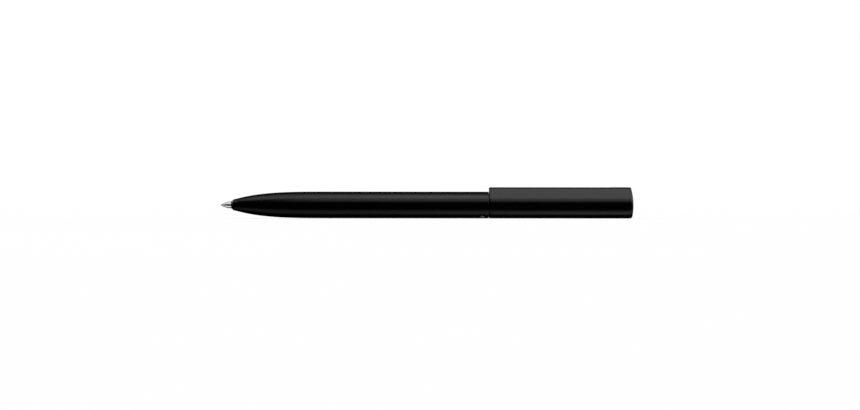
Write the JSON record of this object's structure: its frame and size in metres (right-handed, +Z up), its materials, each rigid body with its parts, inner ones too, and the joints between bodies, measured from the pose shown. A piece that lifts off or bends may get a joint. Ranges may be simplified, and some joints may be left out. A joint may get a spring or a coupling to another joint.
{
  "type": "twist-action pen",
  "caption": "Slim round pen with a tapered nose, a twist mechanism, a flat-faced clip flush with its upper half and a replaceable refill.",
  "frame": {"origin": "centre of the bounding box in X and Y, on its underside in Z", "axes": "+X along the pen from the writing end to the closed end, +Z up with the squared corner of the upper section uppermost, -Y toward the clip's flat facet"},
  "size_m": [0.139, 0.009, 0.0105],
  "materials": {
    "satin_black": "satin",
    "black_plastic": "matte",
    "white_plastic": "satin",
    "brass": "satin",
    "steel": "satin",
    "nickel_silver": "gloss",
    "ball_metal": "polished",
    "rubber": "matte"
  },
  "bodies": {
    "upper": {"upper_shell": "satin_black", "clip_root": "satin_black", "end_cap": "satin_black", "inner_sleeve": "black_plastic", "seam_washer": "black_plastic", "end_plug": "brass", "cam": "white_plastic", "cam_retaining_ring": "steel", "drag_o_ring": "rubber"},
    "clip": {"clip_blade": "satin_black"},
    "mechanism": {"mechanism_housing": "brass", "thrust_washer": "white_plastic"},
    "follower": {"cam_follower": "white_plastic"},
    "barrel": {"lower_barrel": "satin_black", "barrel_socket": "brass", "grip_ring": "steel", "nose_bush": "white_plastic", "refill_spring": "steel"},
    "refill": {"refill_tip": "nickel_silver", "refill_nose": "brass", "refill_tube": "steel", "refill_end_plug": "black_plastic", "writing_ball": "ball_metal"}
  },
  "joints": [
    {"name": "clip_flex", "type": "hinge", "parent": "upper", "child": "clip", "pos_m": [0.0615, -0.00362, 0.00711], "axis": [0, 0.5878, 0.809], "range_deg": [0, 4], "stiffness_Nm_per_rad": 2.5},
    {"name": "twist", "type": "hinge", "parent": "upper", "child": "mechanism", "pos_m": [0.021, 0, 0.00448], "axis": [1, 0, 0], "range_deg": [0, 180]},
    {"name": "follower_slide", "type": "slide", "parent": "mechanism", "child": "follower", "axis": [1, 0, 0], "range_m": [0, 0.005]},
    {"name": "barrel_pull", "type": "slide", "parent": "mechanism", "child": "barrel", "axis": [-1, 0, 0], "range_m": [0, 0.025]},
    {"name": "refill_slide", "type": "slide", "parent": "barrel", "child": "refill", "axis": [1, 0, 0], "range_m": [0, 0.005], "deforming": ["refill_spring"]}
  ],
  "couplings": [
    {"joint": "follower_slide", "follows": "twist", "m_per_rad": 0.0015915},
    {"joint": "refill_slide", "follows": "twist", "m_per_rad": 0.0015915}
  ]
}
